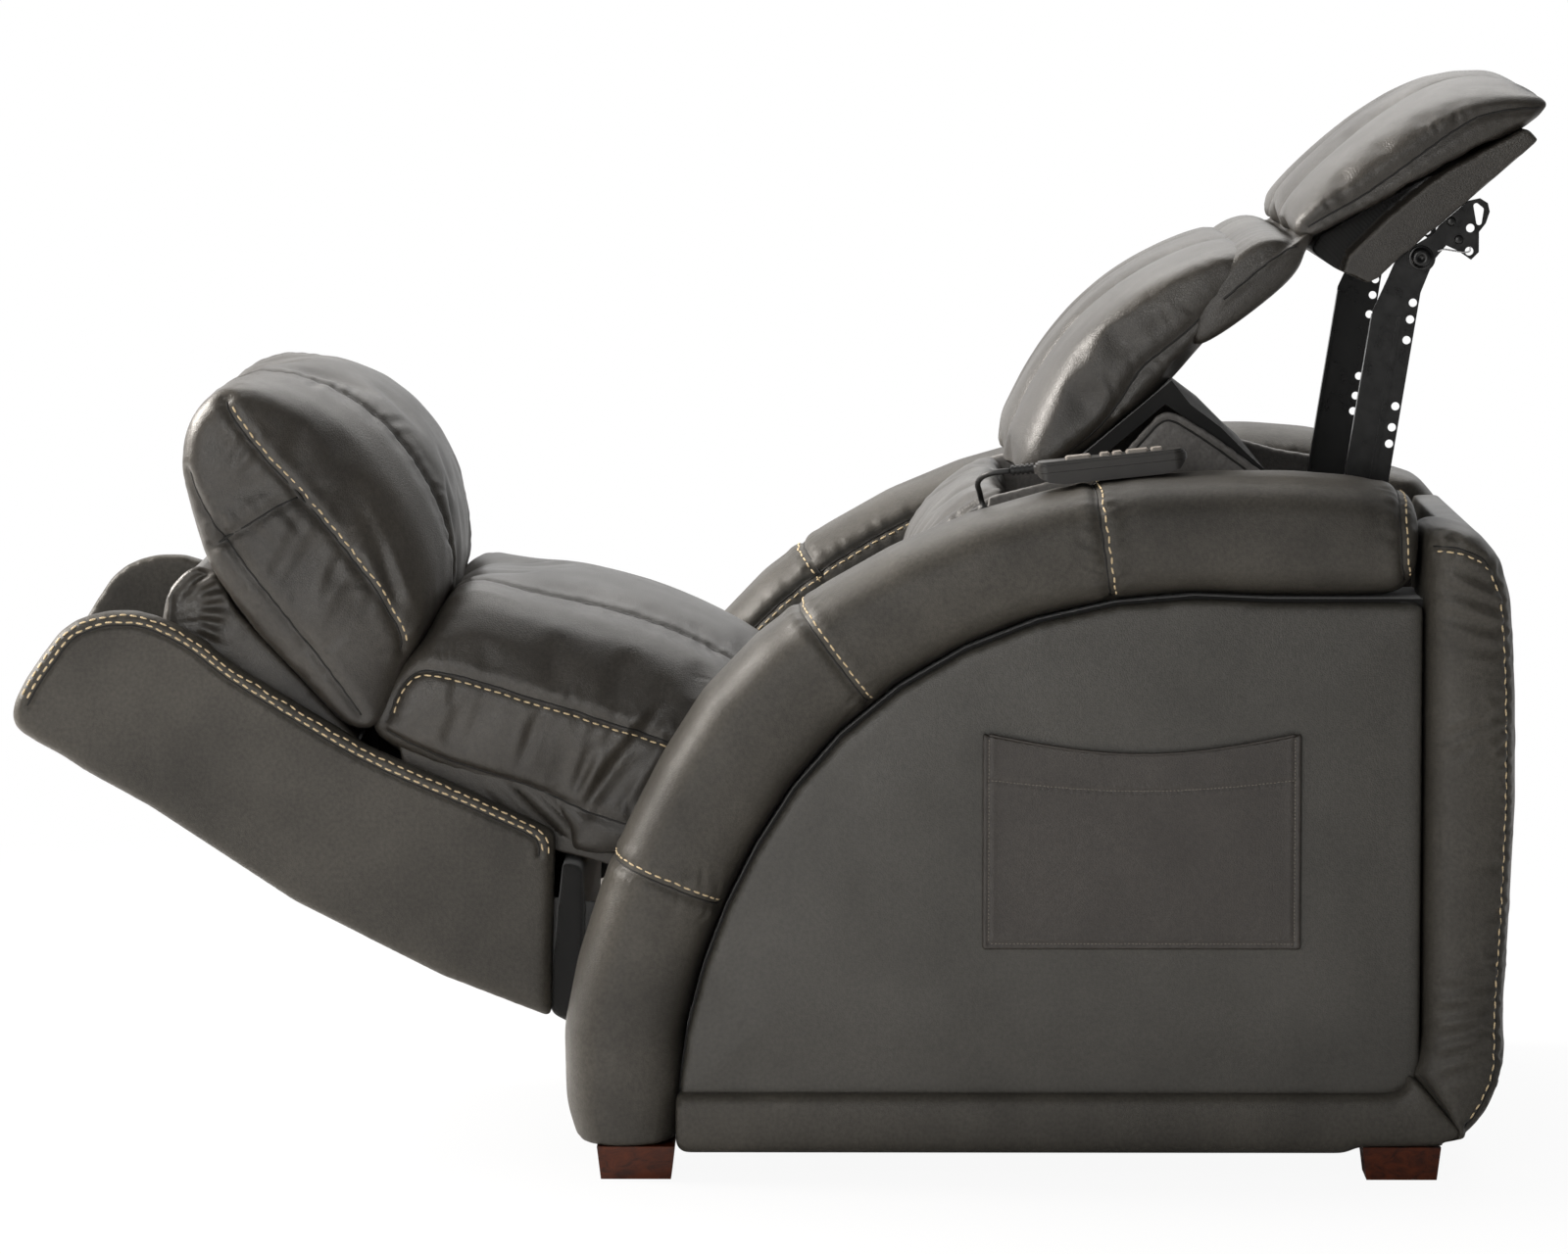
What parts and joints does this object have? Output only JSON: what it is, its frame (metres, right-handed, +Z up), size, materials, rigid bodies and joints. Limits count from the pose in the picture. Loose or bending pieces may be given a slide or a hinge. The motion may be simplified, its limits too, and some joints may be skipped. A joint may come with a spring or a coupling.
{
  "type": "power recliner",
  "caption": "Reclined power armchair with arched padded arms, raised footrest tray, tilting headrest on steel rails, wired handset and side pocket.",
  "frame": {"origin": "on the floor, at the middle of the reclined chair's bounding box", "axes": "+Z up, the chair faces -Y, +X to the sitter's left"},
  "size_m": [0.99, 1.607, 1.1274],
  "materials": {
    "arch_leather": "satin",
    "panel_leather": "satin",
    "cushion_leather": "satin",
    "pocket_leather": "satin",
    "skirt_fabric": "matte",
    "wing_fabric": "matte",
    "black_steel": "gloss",
    "slider_steel": "satin",
    "frame_wood": "matte",
    "foot_wood": "satin",
    "handset_plastic": "satin",
    "button_plastic": "satin",
    "black_rubber": "matte"
  },
  "bodies": {
    "base": {"left_arm_core": "frame_wood", "right_arm_core": "frame_wood", "left_arm_roll": "arch_leather", "right_arm_roll": "arch_leather", "left_side_panel": "panel_leather", "right_side_panel": "panel_leather", "left_bottom_roll": "arch_leather", "right_bottom_roll": "arch_leather", "left_rear_band": "arch_leather", "right_rear_band": "arch_leather", "rear_panel": "panel_leather", "front_cross_rail": "frame_wood", "rear_cross_rail": "frame_wood", "foot_front_left": "foot_wood", "foot_front_right": "foot_wood", "foot_rear_left": "foot_wood", "foot_rear_right": "foot_wood", "pocket": "pocket_leather", "handset_base": "handset_plastic", "handset_top": "handset_plastic", "strain_relief": "black_rubber", "handset_cord": "black_rubber", "cord_grommet": "black_rubber", "left_glide_rail": "black_steel", "right_glide_rail": "black_steel"},
    "seat": {"left_seat_slider": "slider_steel", "right_seat_slider": "slider_steel", "left_mech_plate": "black_steel", "right_mech_plate": "black_steel", "seat_frame": "frame_wood", "seat_deck": "skirt_fabric", "seat_cushion": "cushion_leather"},
    "footrest": {"left_footrest_arm": "black_steel", "right_footrest_arm": "black_steel", "tray_panel": "panel_leather", "tray_flap": "skirt_fabric", "left_tray_wing": "panel_leather", "right_tray_wing": "panel_leather", "leg_board": "frame_wood", "pad_gusset": "cushion_leather", "leg_pad": "cushion_leather"},
    "back": {"left_back_rail": "black_steel", "right_back_rail": "black_steel", "left_back_bracket": "black_steel", "right_back_bracket": "black_steel", "back_tube": "black_steel", "left_back_wing": "wing_fabric", "right_back_wing": "wing_fabric", "back_board": "skirt_fabric", "back_cushion": "cushion_leather", "bolster": "cushion_leather"},
    "headrest": {"head_board": "cushion_leather", "head_cushion": "cushion_leather", "left_head_bracket": "black_steel", "right_head_bracket": "black_steel"},
    "button_1_key": {"button_1": "button_plastic"},
    "button_2_key": {"button_2": "button_plastic"},
    "button_3_key": {"button_3": "button_plastic"},
    "button_4_key": {"button_4": "button_plastic"},
    "button_5_key": {"button_5": "button_plastic"}
  },
  "joints": [
    {"name": "seat_glide", "type": "slide", "parent": "base", "child": "seat", "axis": [0, 1, 0], "range_m": [0, 0.06]},
    {"name": "back_recline", "type": "hinge", "parent": "seat", "child": "back", "pos_m": [0, 0.354, 0.5], "axis": [1, 0, 0], "range_deg": [0, 24]},
    {"name": "headrest_tilt", "type": "hinge", "parent": "back", "child": "headrest", "pos_m": [0, 0.665, 0.937], "axis": [1, 0, 0], "range_deg": [0, 15]},
    {"name": "footrest_lift", "type": "hinge", "parent": "seat", "child": "footrest", "pos_m": [0, -0.196, 0.24], "axis": [1, 0, 0], "range_deg": [0, 36]},
    {"name": "button_1_press", "type": "slide", "parent": "base", "child": "button_1_key", "axis": [0, 0.1045, -0.9945], "range_m": [0, 0.001], "stiffness_N_per_m": 600},
    {"name": "button_2_press", "type": "slide", "parent": "base", "child": "button_2_key", "axis": [0, 0.1045, -0.9945], "range_m": [0, 0.001], "stiffness_N_per_m": 600},
    {"name": "button_3_press", "type": "slide", "parent": "base", "child": "button_3_key", "axis": [0, 0.1045, -0.9945], "range_m": [0, 0.001], "stiffness_N_per_m": 600},
    {"name": "button_4_press", "type": "slide", "parent": "base", "child": "button_4_key", "axis": [0, 0.1045, -0.9945], "range_m": [0, 0.001], "stiffness_N_per_m": 600},
    {"name": "button_5_press", "type": "slide", "parent": "base", "child": "button_5_key", "axis": [0, 0.1045, -0.9945], "range_m": [0, 0.001], "stiffness_N_per_m": 600}
  ],
  "couplings": [
    {"joint": "seat_glide", "follows": "back_recline", "m_per_rad": 0.14324}
  ]
}
